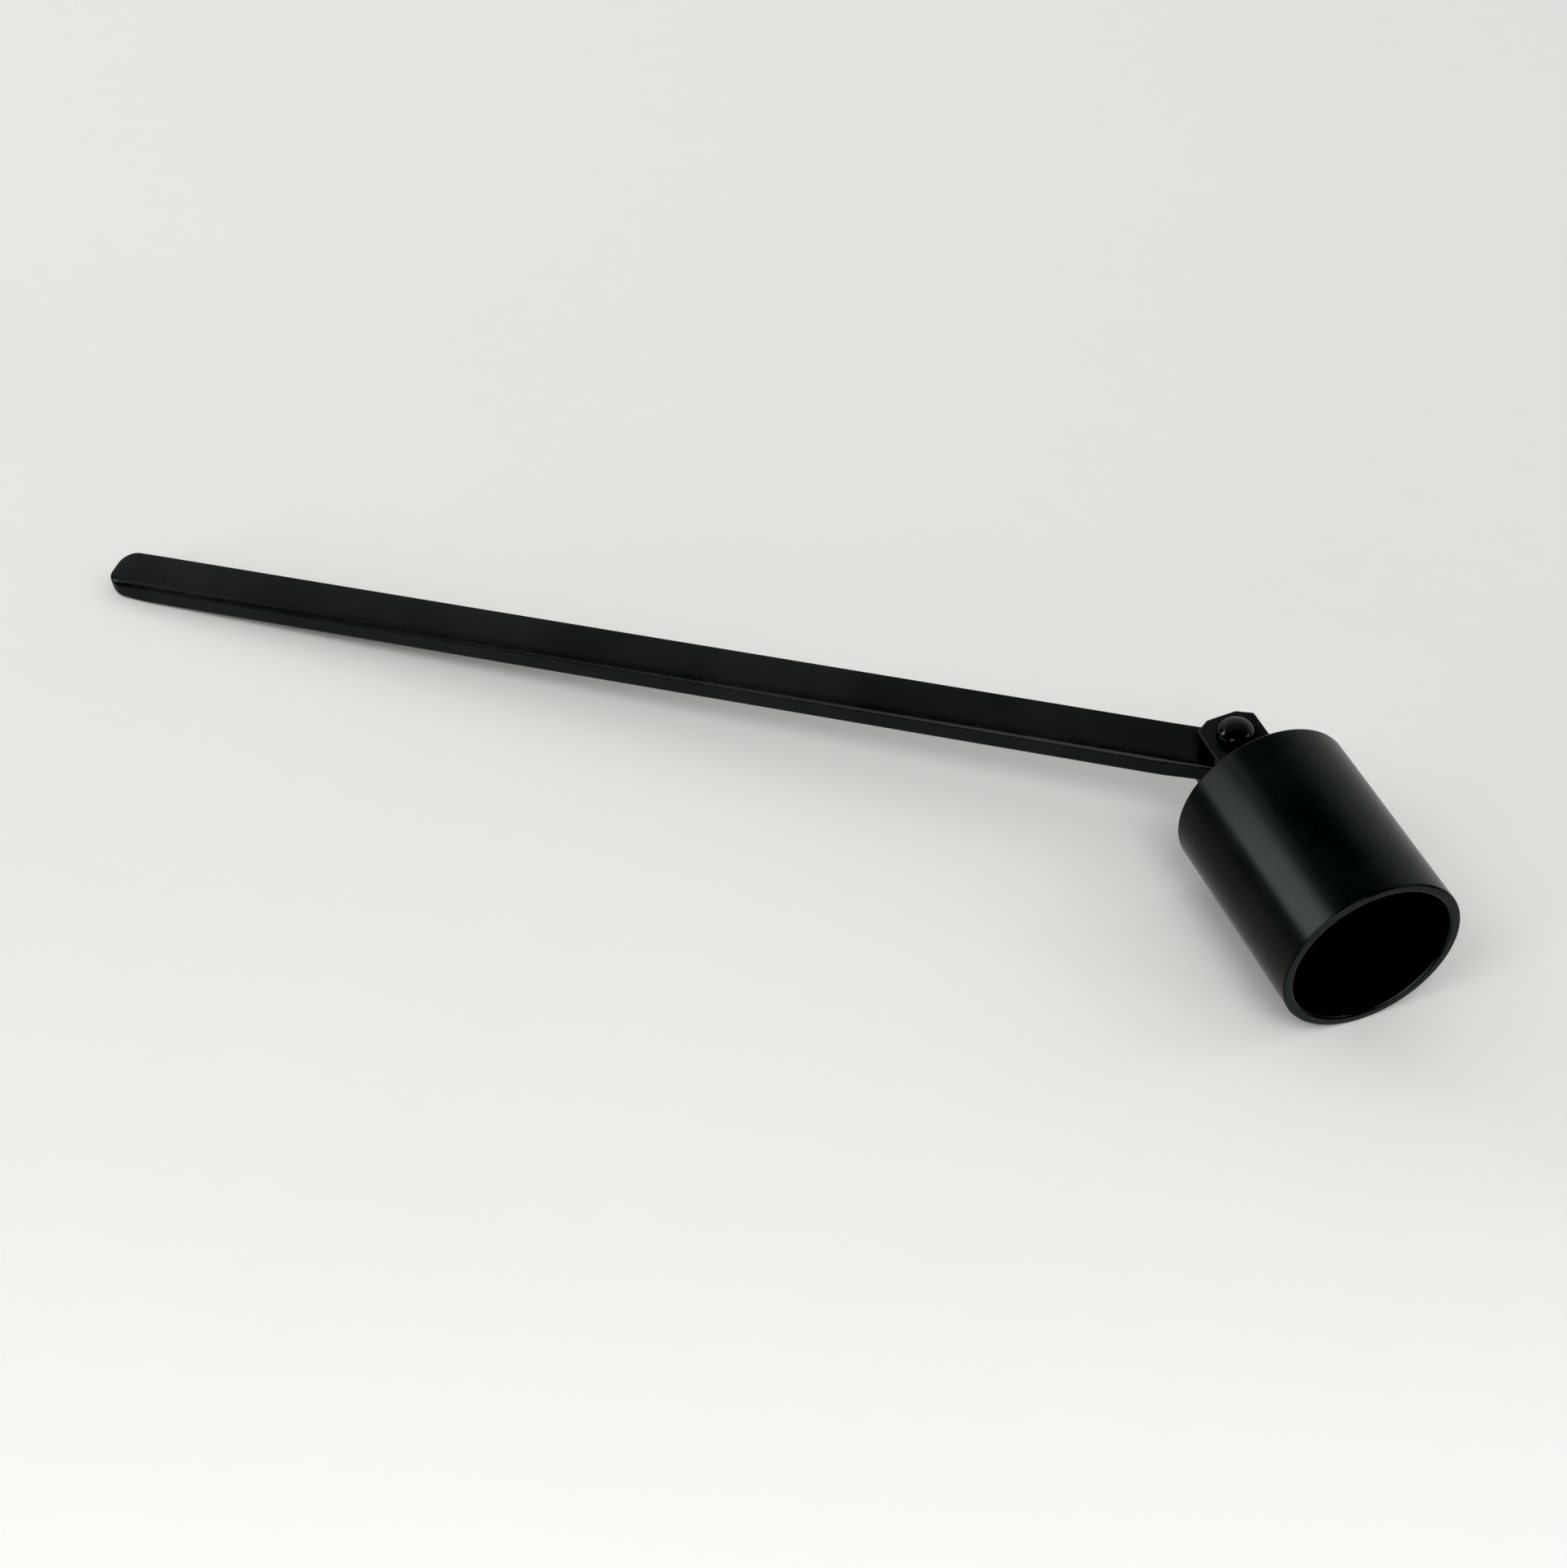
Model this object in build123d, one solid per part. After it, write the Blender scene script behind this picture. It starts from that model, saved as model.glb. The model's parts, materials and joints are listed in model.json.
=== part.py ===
from build123d import *
import math
import os

# Candle snuffer: a straight metal cup hinged on the end of a long flat bar.
#
# Millimetres, +Z up. The snuffer lies on a table, Z = 0, as it rests when it is put down: the
# cup on its side and one lower corner of the handle's tail touch the table. The handle runs
# along X with the cup at its +X end, and the origin is under the middle of the whole object.
#
# Each piece is drawn about the pivot: local Z is the hinge axis, and local X runs towards the
# cup, along the handle for the handle and along the cup's axis for everything on the cup.

# Cup
CUP_RADIUS = 14.0
CUP_LENGTH = 33.6
CUP_WALL = 1.7
CUP_END_WALL = 2.0
CUP_BACK_EDGE = 0.4
CUP_RIM_EDGE = 0.3
CUP_MOUTH_CHAMFER = 0.5
CUP_FLOOR_FILLET = 1.2

# Handle
HANDLE_WIDTH = 8.0
HANDLE_THICKNESS = 3.75
PIVOT_TO_TAIL = 193.5
TAIL_CORNER = 2.25
HANDLE_EDGE = 0.4

# Bracket: a strap bent to a U, whose base lies on the cup's closed end
STRAP_WIDTH = 9.6
STRAP_THICKNESS = 2.0
STRAP_EDGE = 0.4
BEND_INSIDE = 0.5
EAR_TOP = 5.4
PIVOT_TO_CUP = 9.0
PIVOT_TO_EAR_END = 4.8
EAR_CLIP_ACROSS = 2.8
EAR_CLIP_ALONG = 1.7

# Pivot rivet
PIVOT_SHANK = 1.5
PIVOT_HEAD = 2.8
PIVOT_HEAD_SIDE = 0.7
PIVOT_HEAD_DOME = 1.8
PIVOT_TAIL = 2.6
PIVOT_TAIL_SIDE = 0.4
PIVOT_TAIL_DOME = 1.1

# Spacer washers, one on each side of the handle
WASHER_RADIUS = 4.2
WASHER_EDGE = 0.2

# Bracket rivet
FIXING_SHANK = 2.0
FIXING_HEAD = 3.4
FIXING_HEAD_SIDE = 0.4
FIXING_HEAD_DOME = 1.3
FIXING_TAIL = 2.85
FIXING_TAIL_SIDE = 0.3
FIXING_TAIL_DOME = 0.8

# Fits
HOLE_CLEARANCE = 0.05
FACE_CLEARANCE = 0.05

# A cut runs this far past the faces that it goes through
CUT_PAST = 1.0

# Two lengths or directions closer than this are the same
TOLERANCE = 1e-6

# How it lies: the handle is swung this far from straight in line with the cup
SWING = math.radians(51.6)


def resting_roll():
    """Roll about the cup's axis that brings the tail's lower corner down to the table.

    The pivot is on the cup's axis, one cup radius above the table. The tail's corner is a
    quarter round of TAIL_CORNER in plan, with HANDLE_EDGE rounded off below.
    """
    reach = (
        (PIVOT_TO_TAIL - TAIL_CORNER) * math.sin(SWING)
        + (HANDLE_WIDTH / 2 - TAIL_CORNER) * math.cos(SWING)
        + TAIL_CORNER - HANDLE_EDGE
    )
    drop = HANDLE_THICKNESS / 2 - HANDLE_EDGE
    height = CUP_RADIUS - HANDLE_EDGE
    return math.asin(height / math.hypot(reach, drop)) - math.atan2(drop, reach)


def disc_on_x(radius, start, end):
    """Cylinder along local X between two stations."""
    disc = Cylinder(radius, end - start, align=(Align.CENTER, Align.CENTER, Align.MIN))
    return Pos(start, 0, 0) * Rot(0, 90, 0) * disc


def circles_on_x(solid):
    """The solid's circular edges, from the lowest local X to the highest."""
    return solid.edges().filter_by(GeomType.CIRCLE).sort_by(Axis.X)


def fixing_hole(start, end):
    """The bracket rivet's hole through a wall between two stations on the cup's axis."""
    return disc_on_x(FIXING_SHANK + HOLE_CLEARANCE, start - CUT_PAST, end + CUT_PAST)


def pivot_hole():
    """The pivot rivet's hole, long enough to cross the whole bracket."""
    return Cylinder(PIVOT_SHANK + HOLE_CLEARANCE, 2 * (EAR_TOP + CUT_PAST))


def rivet(shank, grip, head, tail):
    """Rivet on local Z: tail seat at Z = 0, head seat at Z = grip.

    Head and tail are each (radius, height of the upright side, height of the round cap).
    """
    head_radius, head_side, head_dome = head
    tail_radius, tail_side, tail_dome = tail
    shoulder = grip + head_side
    top = shoulder + head_dome
    bottom = -tail_side - tail_dome
    outline = [
        TangentArc((0, bottom), (tail_radius, -tail_side), tangent=(1, 0)),
        Polyline((tail_radius, -tail_side), (tail_radius, 0), (shank, 0), (shank, grip)),
        Polyline((shank, grip), (head_radius, grip), (head_radius, shoulder)),
        TangentArc((0, top), (head_radius, shoulder), tangent=(1, 0)),
        Line((0, bottom), (0, top)),
    ]
    return revolve(Plane.XZ * make_face(outline), Axis.Z)


def handle_bar():
    """Flat bar with a full round end at the pivot and two rounded corners at the tail."""
    straight = Pos(-PIVOT_TO_TAIL / 2, 0) * Rectangle(PIVOT_TO_TAIL, HANDLE_WIDTH)
    tail = straight.vertices().group_by(Axis.X)[0]
    outline = fillet(tail, TAIL_CORNER) + Circle(HANDLE_WIDTH / 2)
    bar = extrude(outline, HANDLE_THICKNESS / 2, both=True)
    bar = fillet(bar.faces().filter_by(Axis.Z).edges(), HANDLE_EDGE)
    return bar - pivot_hole()


def snuffer_cup():
    """Straight cup, closed towards the pivot, with a hole for the bracket's rivet."""
    back = PIVOT_TO_CUP
    mouth = back + CUP_LENGTH
    cup = disc_on_x(CUP_RADIUS, back, mouth)
    cup = fillet(circles_on_x(cup)[0], CUP_BACK_EDGE)
    cup = fillet(circles_on_x(cup)[-1], CUP_RIM_EDGE)
    hollow = disc_on_x(CUP_RADIUS - CUP_WALL, back + CUP_END_WALL, mouth)
    cup -= fillet(circles_on_x(hollow)[0], CUP_FLOOR_FILLET)
    lip = circles_on_x(cup).group_by(Axis.X)[-1].sort_by(SortBy.RADIUS)[0]
    cup = chamfer(lip, CUP_MOUTH_CHAMFER)
    return cup - fixing_hole(back, back + CUP_END_WALL)


def is_strap_wall(face):
    """True for the faces across the strap's thickness: its sides, clips and ear ends."""
    normal = face.normal_at()
    faces_sideways = not math.isclose(normal.Y, 0, abs_tol=TOLERANCE)
    faces_back = math.isclose(normal.X, -1, abs_tol=TOLERANCE)
    return faces_sideways or (faces_back and face.center().X < 0)


def is_strap_rim(edge):
    """True for a wall's long edges, false for the short ones across the thickness."""
    return not math.isclose(edge.length, STRAP_THICKNESS, abs_tol=TOLERANCE)


def clevis_bracket():
    """U-shaped strap: a base on the cup's closed end and two ears with clipped corners."""
    base_inner = PIVOT_TO_CUP - STRAP_THICKNESS
    ear_under = EAR_TOP - STRAP_THICKNESS
    length = PIVOT_TO_CUP + PIVOT_TO_EAR_END
    block = Pos((PIVOT_TO_CUP - PIVOT_TO_EAR_END) / 2, 0) * Rectangle(length, 2 * EAR_TOP)
    block = fillet(block.vertices().group_by(Axis.X)[-1], BEND_INSIDE + STRAP_THICKNESS)
    mouth = -PIVOT_TO_EAR_END - CUT_PAST
    gap = Pos((base_inner + mouth) / 2, 0) * Rectangle(base_inner - mouth, 2 * ear_under)
    gap = fillet(gap.vertices().group_by(Axis.X)[-1], BEND_INSIDE)
    strap = extrude(Plane.XZ * (block - gap), STRAP_WIDTH / 2, both=True)
    for side in (-1, 1):
        clip = Polygon(
            (-PIVOT_TO_EAR_END, side * (STRAP_WIDTH / 2 - EAR_CLIP_ACROSS)),
            (-PIVOT_TO_EAR_END, side * STRAP_WIDTH / 2),
            (EAR_CLIP_ALONG - PIVOT_TO_EAR_END, side * STRAP_WIDTH / 2),
            align=None,
        )
        strap -= extrude(clip, EAR_TOP + CUT_PAST, both=True)
    walls = strap.faces().filter_by(GeomType.PLANE).filter_by(is_strap_wall)
    strap = fillet(walls.edges().filter_by(is_strap_rim), STRAP_EDGE)
    return strap - pivot_hole() - fixing_hole(base_inner, PIVOT_TO_CUP)


def pivot_rivet():
    """Rivet along the hinge axis, head on the upper ear and formed tail under the lower one."""
    head = (PIVOT_HEAD, PIVOT_HEAD_SIDE, PIVOT_HEAD_DOME)
    tail = (PIVOT_TAIL, PIVOT_TAIL_SIDE, PIVOT_TAIL_DOME)
    return Pos(0, 0, -EAR_TOP) * rivet(PIVOT_SHANK, 2 * EAR_TOP, head, tail)


def spacer_washer(side):
    """Washer between the handle and one ear; side is +1 above the handle and -1 below it."""
    inner = HANDLE_THICKNESS / 2 + FACE_CLEARANCE
    outer = EAR_TOP - STRAP_THICKNESS
    washer = Cylinder(WASHER_RADIUS, outer - inner)
    washer = chamfer(washer.edges().filter_by(GeomType.CIRCLE), WASHER_EDGE)
    return Pos(0, 0, side * (inner + outer) / 2) * (washer - pivot_hole())


def bracket_rivet():
    """Rivet along the cup's axis, head inside the cup and formed tail inside the bracket."""
    head = (FIXING_HEAD, FIXING_HEAD_SIDE, FIXING_HEAD_DOME)
    tail = (FIXING_TAIL, FIXING_TAIL_SIDE, FIXING_TAIL_DOME)
    grip = STRAP_THICKNESS + CUP_END_WALL
    turned = Rot(0, 90, 0) * rivet(FIXING_SHANK, grip, head, tail)
    return Pos(PIVOT_TO_CUP - STRAP_THICKNESS, 0, 0) * turned


# Where the pieces lie: a pivot on the cup's axis, at the cup's radius above the table
ROLL = resting_roll()
HEADING = math.atan2(math.sin(SWING) * math.cos(ROLL), math.cos(SWING))
CUP_AXIS = Vector(math.cos(HEADING), -math.sin(HEADING), 0)
HINGE_AXIS = Vector(
    -math.sin(ROLL) * math.sin(HEADING),
    -math.sin(ROLL) * math.cos(HEADING),
    math.cos(ROLL),
)

CUP_PIECES = {
    "snuffer_cup": snuffer_cup(),
    "clevis_bracket": clevis_bracket(),
    "pivot_rivet": pivot_rivet(),
    "upper_spacer_washer": spacer_washer(1),
    "lower_spacer_washer": spacer_washer(-1),
    "bracket_rivet": bracket_rivet(),
}
HANDLE_PIECES = {"handle_bar": handle_bar()}


def place_all():
    """Lay the pieces on the table, centred on the origin; returns them and the pivot's place."""
    cup_frame = Plane(origin=(0, 0, CUP_RADIUS), x_dir=CUP_AXIS, z_dir=HINGE_AXIS).location
    handle_frame = cup_frame * Rot(0, 0, math.degrees(SWING))
    placed = {name: cup_frame * piece for name, piece in CUP_PIECES.items()}
    placed.update({name: handle_frame * piece for name, piece in HANDLE_PIECES.items()})
    middle = Compound(list(placed.values())).bounding_box().center()
    shift = Pos(-middle.X, -middle.Y, 0)
    pivot = Vector(-middle.X, -middle.Y, CUP_RADIUS)
    return {name: shift * piece for name, piece in placed.items()}, pivot


PLACED, PIVOT = place_all()
os.makedirs("parts", exist_ok=True)
for name, piece in PLACED.items():
    export_step(piece, f"parts/{name}.step")

print("pivot", PIVOT)
print("hinge axis", HINGE_AXIS)
print("cup axis", CUP_AXIS)
print("roll and heading in degrees", math.degrees(ROLL), math.degrees(HEADING))
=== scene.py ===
import json
import math

import bpy
from mathutils import Matrix, Vector


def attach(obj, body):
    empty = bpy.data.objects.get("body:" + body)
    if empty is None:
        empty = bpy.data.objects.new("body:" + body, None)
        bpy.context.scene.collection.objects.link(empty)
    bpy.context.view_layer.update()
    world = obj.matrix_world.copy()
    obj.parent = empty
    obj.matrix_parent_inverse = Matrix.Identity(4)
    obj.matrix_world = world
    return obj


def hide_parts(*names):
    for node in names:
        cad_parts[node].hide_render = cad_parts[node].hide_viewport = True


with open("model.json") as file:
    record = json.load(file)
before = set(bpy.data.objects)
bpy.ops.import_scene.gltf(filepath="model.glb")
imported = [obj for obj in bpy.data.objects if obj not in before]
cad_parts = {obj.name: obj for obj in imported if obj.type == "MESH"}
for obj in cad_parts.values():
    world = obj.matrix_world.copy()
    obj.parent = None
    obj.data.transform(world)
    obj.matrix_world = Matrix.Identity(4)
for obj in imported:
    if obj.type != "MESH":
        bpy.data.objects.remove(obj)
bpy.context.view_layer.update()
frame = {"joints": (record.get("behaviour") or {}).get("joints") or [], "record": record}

# Candle snuffer: every visible piece is rebuilt here as a dense, closed mesh with exact normals,
# on the sizes of the CAD model, with its edges, its rivets' domes and its handle's tail in finer
# shape. Sizes are in millimetres and are drawn about the pivot: local Z is the hinge axis, and
# local X runs towards the cup, along the handle for the handle and along the cup's axis for
# everything on the cup.
MM = 0.001

# Cup
CUP_RADIUS = 14.0
CUP_LENGTH = 33.6
CUP_WALL = 1.7
CUP_END_WALL = 2.0
CUP_BACK_EDGE = 0.4
CUP_RIM_EDGE = 0.3
CUP_MOUTH_FILLET = 0.55
CUP_FLOOR_FILLET = 1.2

# Handle
HANDLE_WIDTH = 8.0
HANDLE_THICKNESS = 3.75
PIVOT_TO_TAIL = 194.2
TAIL_CORNER = 2.9
HANDLE_EDGE = 0.7
HANDLE_FAR_EDGE = 0.2

# The bar falls by its crown at both edges, and by its shoulder too at the one on -Y. Near the
# pivot, where the washers lie on it, it stays flat
HANDLE_CROWN = 0.06
SHOULDER = 0.3
SHOULDER_START = 2.5
PIVOT_FLAT = 5.0
PIVOT_FLAT_END = 11.0

# Over its nose the tail thins by this share, towards a plane at this height over its middle
TAIL_NOSE = 9.0
TAIL_THINNING = 0.6
TAIL_LIFT = 1.4
NOSE_DRAWN = 0.995

# Bracket
STRAP_WIDTH = 9.6
STRAP_THICKNESS = 2.0
STRAP_EDGE = 0.4
BEND_INSIDE = 0.5
EAR_TOP = 5.4
PIVOT_TO_CUP = 9.0
PIVOT_TO_EAR_END = 4.8
EAR_CLIP_ACROSS = 2.4
EAR_CLIP_ALONG = 1.55

# Rivets: (radius, height of the upright side, height of the round cap)
PIVOT_SHANK = 1.5
PIVOT_HEAD = (2.85, 0.35, 1.95)
PIVOT_TAIL = (2.6, 0.3, 1.2)
FIXING_SHANK = 2.0
FIXING_HEAD = (3.4, 0.3, 1.4)
FIXING_TAIL = (2.85, 0.25, 0.85)

# Washers
WASHER_RADIUS = 4.2
WASHER_EDGE = 0.2

# Fits
HOLE_CLEARANCE = 0.05
FACE_CLEARANCE = 0.05

# Swing of the handle from straight in line with the cup
SWING = math.radians(51.6)

# Roundings that the coating gives to edges and to the ears' points
TINY_EDGE = 0.08
CLIP_EDGE = 0.6

# A rivet's cap is an ellipse with this power in place of 2, which makes it fuller
CAP_POWER = 2.45
CAP_STEPS = 32

# Mesh density: steps of a full turn, of an arc in section and of an arc in plan, the spacing of
# points on long, short, wall, base, ear and bend stretches, and of the one that guards an edge
TURN_STEPS = 256
SMALL_TURN_STEPS = 128
ARC_STEP = math.radians(11.25)
FEWEST_ARC_STEPS = 4
PLAN_ARC_STEP = 5
TAIL_CORNER_STEPS = 12
SPACING = 1.6
SHORT_SPACING = 0.8
WALL_SPACING = 0.6
BASE_SPACING = 0.75
EAR_SPACING = 0.5
BEND_SPACING = 0.16
GUARD = 0.15
ACROSS = 12
RINGS = 6

# Where an ear's straight columns end, before the pivot's hole
EAR_COLUMN = 4.4


# ---------------------------------------------------------------- meshes


class Shell:
    """A mesh in the making: points with their edge wear, faces with a normal at each corner."""

    def __init__(self):
        self.points = []
        self.wear = []
        self.faces = []
        self.normals = []

    def add(self, point, wear=0.0):
        self.points.append(Vector(point))
        self.wear.append(wear)
        return len(self.points) - 1

    def face(self, corners):
        """Add a face from (point number, normal) corners, turned to look where they look."""
        kept = [c for i, c in enumerate(corners) if c[0] != corners[i - 1][0]]
        a, b, c = (self.points[kept[i][0]] for i in (0, 1, 2))
        looks = sum((Vector(n) for _, n in kept), Vector())
        if (b - a).cross(c - a).dot(looks) < 0:
            kept.reverse()
        self.faces.append([i for i, _ in kept])
        self.normals.extend(Vector(n).normalized() for _, n in kept)


def arc(centre, radius, start, end, wear=1.0):
    """Samples (x, y, normal x, normal y, wear) round an arc, angles in radians."""
    steps = max(FEWEST_ARC_STEPS, math.ceil(abs(end - start) / ARC_STEP))
    samples = []
    for i in range(steps + 1):
        angle = start + (end - start) * i / steps
        nx, ny = math.cos(angle), math.sin(angle)
        samples.append((centre[0] + radius * nx, centre[1] + radius * ny, nx, ny, wear))
    return samples


def run(start, end, normal, spacing=SPACING):
    """Samples along a straight run, its ends left out, with one near each end."""
    length = math.dist(start, end)
    if length < 3 * GUARD:
        return []
    steps = max(1, math.ceil((length - 2 * GUARD) / spacing))
    stations = [GUARD + (length - 2 * GUARD) * i / steps for i in range(steps + 1)]
    samples = []
    for station in stations:
        t = station / length
        x, y = (a + (b - a) * t for a, b in zip(start, end))
        samples.append((x, y, *normal, 0.0))
    return samples


def rounded(corners, spacing=SPACING):
    """Samples round a closed outline of (x, y, radius) corners, given anticlockwise."""
    count = len(corners)
    arcs = []
    for i, (x, y, radius) in enumerate(corners):
        here = Vector((x, y))
        before = (here - Vector(corners[i - 1][:2])).normalized()
        after = (Vector(corners[(i + 1) % count][:2]) - here).normalized()
        turn = math.atan2(before.x * after.y - before.y * after.x, before.dot(after))
        setback = radius * math.tan(abs(turn) / 2)
        side = 1 if turn > 0 else -1
        outward = Vector((before.y, -before.x))
        centre = here - before * setback - outward * radius * side
        start = math.atan2(outward.y, outward.x)
        samples = []
        for _, _, nx, ny, _ in arc((0, 0), 1.0, start, start + turn):
            point = centre + Vector((nx, ny)) * radius * side
            wear = 1.0 if turn > 0 else 0.0
            samples.append((point.x, point.y, nx, ny, wear))
        arcs.append(samples)
    outline = []
    for i, samples in enumerate(arcs):
        outline += samples
        following = arcs[(i + 1) % count][0]
        outline += run(samples[-1][:2], following[:2], samples[-1][2:4], spacing)
    return outline


X, Y, Z = Vector((1, 0, 0)), Vector((0, 1, 0)), Vector((0, 0, 1))


def lathe(samples, axes, steps, closed):
    """Turn (station, radius, normal along, normal out, wear) samples about the first axis."""
    along, up, over = axes
    shell = Shell()
    rings = []
    for station, radius, n_along, n_out, wear in samples:
        ring = []
        for k in range(steps):
            angle = math.tau * k / steps
            out = up * math.cos(angle) + over * math.sin(angle)
            if radius > 0 or k == 0:
                index = shell.add(along * station + out * radius, wear)
            normal = along * n_along + out * n_out
            ring.append((index, normal))
        rings.append(ring)
    pairs = list(zip(rings, rings[1:]))
    if closed:
        pairs.append((rings[-1], rings[0]))
    for one, two in pairs:
        for k in range(steps):
            m = (k + 1) % steps
            shell.face([one[k], one[m], two[m], two[k]])
    return shell


def rivet_end(radius, side, dome, shank):
    """Samples (height over the seat, radius, normals, wear) from the cap's top to the shank."""
    cap = []
    for i in range(CAP_STEPS + 1):
        angle = math.pi / 2 * i / CAP_STEPS
        high = math.cos(angle) ** (2 / CAP_POWER) if i < CAP_STEPS else 0.0
        wide = math.sin(angle) ** (2 / CAP_POWER)
        nx, ny = high ** (CAP_POWER - 1) / dome, wide ** (CAP_POWER - 1) / radius
        size = math.hypot(nx, ny)
        cap.append((side + dome * high, radius * wide, nx / size, ny / size, 0.0))
    corner = arc((TINY_EDGE, radius - TINY_EDGE), TINY_EDGE, math.pi / 2, math.pi, 0.0)
    seat = [(0.0, shank + TINY_EDGE, -1.0, 0.0, 0.0)]
    neck = []
    for x, y, nx, ny, _ in arc((0, 0), TINY_EDGE, 0.0, -math.pi / 2, 0.0):
        neck.append((x - TINY_EDGE, y + shank + TINY_EDGE, -nx, -ny, 0.0))
    return cap + corner + seat + neck[1:]


def rivet(shank, grip, head, tail, axes):
    """Rivet with its tail's seat at station 0 and its head's seat at the grip."""
    top = [(grip + x, *rest) for x, *rest in rivet_end(*head, shank)]
    bottom = [(-x, y, -nx, ny, w) for x, y, nx, ny, w in rivet_end(*tail, shank)]
    return lathe(top + bottom[::-1], axes, SMALL_TURN_STEPS, closed=False)


def moved(shell, offset):
    """The shell, with every point shifted by the offset."""
    shell.points = [p + offset for p in shell.points]
    return shell


class Plate:
    """A flat plate in the making: quads in plan, with rounded rims and drilled holes.

    A plan point is (x, y, normal x, normal y), with a zero normal for a point inside the rim.
    """

    def __init__(self):
        self.plan = {}
        self.quads = []

    def point(self, sample):
        key = (round(sample[0], 4), round(sample[1], 4))
        known = self.plan.get(key)
        if known is None or (sample[2], sample[3]) != (0, 0):
            self.plan[key] = tuple(sample[:4])
        return key

    def strip(self, columns):
        """Join columns of plan points, each as long as the next, with quads."""
        keys = [[self.point(s) for s in column] for column in columns]
        for one, two in zip(keys, keys[1:]):
            for i in range(len(one) - 1):
                self.quads.append((one[i], two[i], two[i + 1], one[i + 1]))

    def round_hole(self, centre, radius, border):
        """Fill between a hole and a closed border of plan points that goes round it."""
        rings = []
        for sample in border + border[:1]:
            away = Vector((sample[0] - centre[0], sample[1] - centre[1]))
            near = away.normalized() * radius
            column = [sample]
            for k in range(1, RINGS + 1):
                p = away.lerp(near, k / RINGS)
                column.append((centre[0] + p.x, centre[1] + p.y, 0, 0))
            rings.append(column)
        self.strip(rings)

    def edges(self):
        """The plan's outer and hole edges: those of one quad only."""
        count = {}
        for quad in self.quads:
            for i in range(4):
                edge = frozenset((quad[i], quad[i - 1]))
                count[edge] = count.get(edge, 0) + 1
        return [tuple(edge) for edge, n in count.items() if n == 1]

    def solid(self, thickness, edge, holes, bend, far_edge=None):
        """The closed shell: two faces, rounded rims and hole walls, laid out by bend.

        The rims that face +Y are rounded with the far edge's radius, where one is given.
        """
        shell = Shell()
        half = thickness / 2

        def place(u, v, w, wear=0.0):
            return shell.add(bend(u, v, w)[0], wear)

        def turned(key, nu, nv, nw, w=0.0, out=0.0):
            u, v = (key[i] + self.plan[key][i + 2] * out for i in (0, 1))
            return bend(u, v, w, (nu, nv, nw))[1]

        faces = {}
        for side in (1, -1):
            faces[side] = {k: place(*p[:2], side * half) for k, p in self.plan.items()}
            for quad in self.quads:
                look = [(faces[side][k], turned(k, 0, 0, side, side * half)) for k in quad]
                shell.face(look)
        wall = run((half - edge, 0), (edge - half, 0), (0, 0), WALL_SPACING)

        def section(radius):
            """The rim's samples (out, up, normal out, normal up, wear), from face to face."""
            flat, level = GUARD + edge - radius, half - radius
            bend_arc = arc((flat, level), radius, math.pi / 2, 0.0)
            upper = [(x, y, nx, ny, 1.0) for x, y, nx, ny, _ in bend_arc]
            upright = [(GUARD + edge, w * level / (half - edge), 1.0, 0.0, 0.0) for w, *_ in wall]
            return upper + upright + [(x, -y, nx, -ny, wear) for x, y, nx, ny, wear in upper[::-1]]

        columns = {}
        for key, (x, y, nx, ny) in self.plan.items():
            if (nx, ny) == (0, 0):
                continue
            column = [(faces[1][key], turned(key, 0, 0, 1, half))]
            radius = edge if far_edge is None else edge + (far_edge - edge) * max(ny, 0.0) ** 2
            for out, w, n_out, n_up, wear in section(radius):
                index = place(x + nx * out, y + ny * out, w, wear)
                column.append((index, turned(key, nx * n_out, ny * n_out, n_up, w, out)))
            column.append((faces[-1][key], turned(key, 0, 0, -1, -half)))
            columns[key] = column
        for one, two in self.edges():
            if one in columns and two in columns:
                a, b = columns[one], columns[two]
                for i in range(len(a) - 1):
                    shell.face([a[i], b[i], b[i + 1], a[i + 1]])
                continue
            corners = []
            for key, side in ((one, 1), (two, 1), (two, -1), (one, -1)):
                centre = min(holes, key=lambda h: math.dist(h, key))
                inward = (centre[0] - key[0], centre[1] - key[1], 0)
                corners.append((faces[side][key], turned(key, *inward)))
            shell.face(corners)
        return shell


def across(x, half, normal=None):
    """A column of plan points across a plate; its ends are on the rim."""
    column = []
    for j in range(ACROSS + 1):
        y = half * (2 * j / ACROSS - 1)
        if normal:
            column.append((x, y, *normal(j)))
        elif j in (0, ACROSS):
            column.append((x, y, 0, -1 if j == 0 else 1))
        else:
            column.append((x, y, 0, 0))
    return column


def spaced(start, end, spacing):
    """Evenly spaced numbers from start to end, both kept."""
    steps = max(1, round(abs(end - start) / spacing))
    return [start + (end - start) * i / steps for i in range(steps + 1)]


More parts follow.
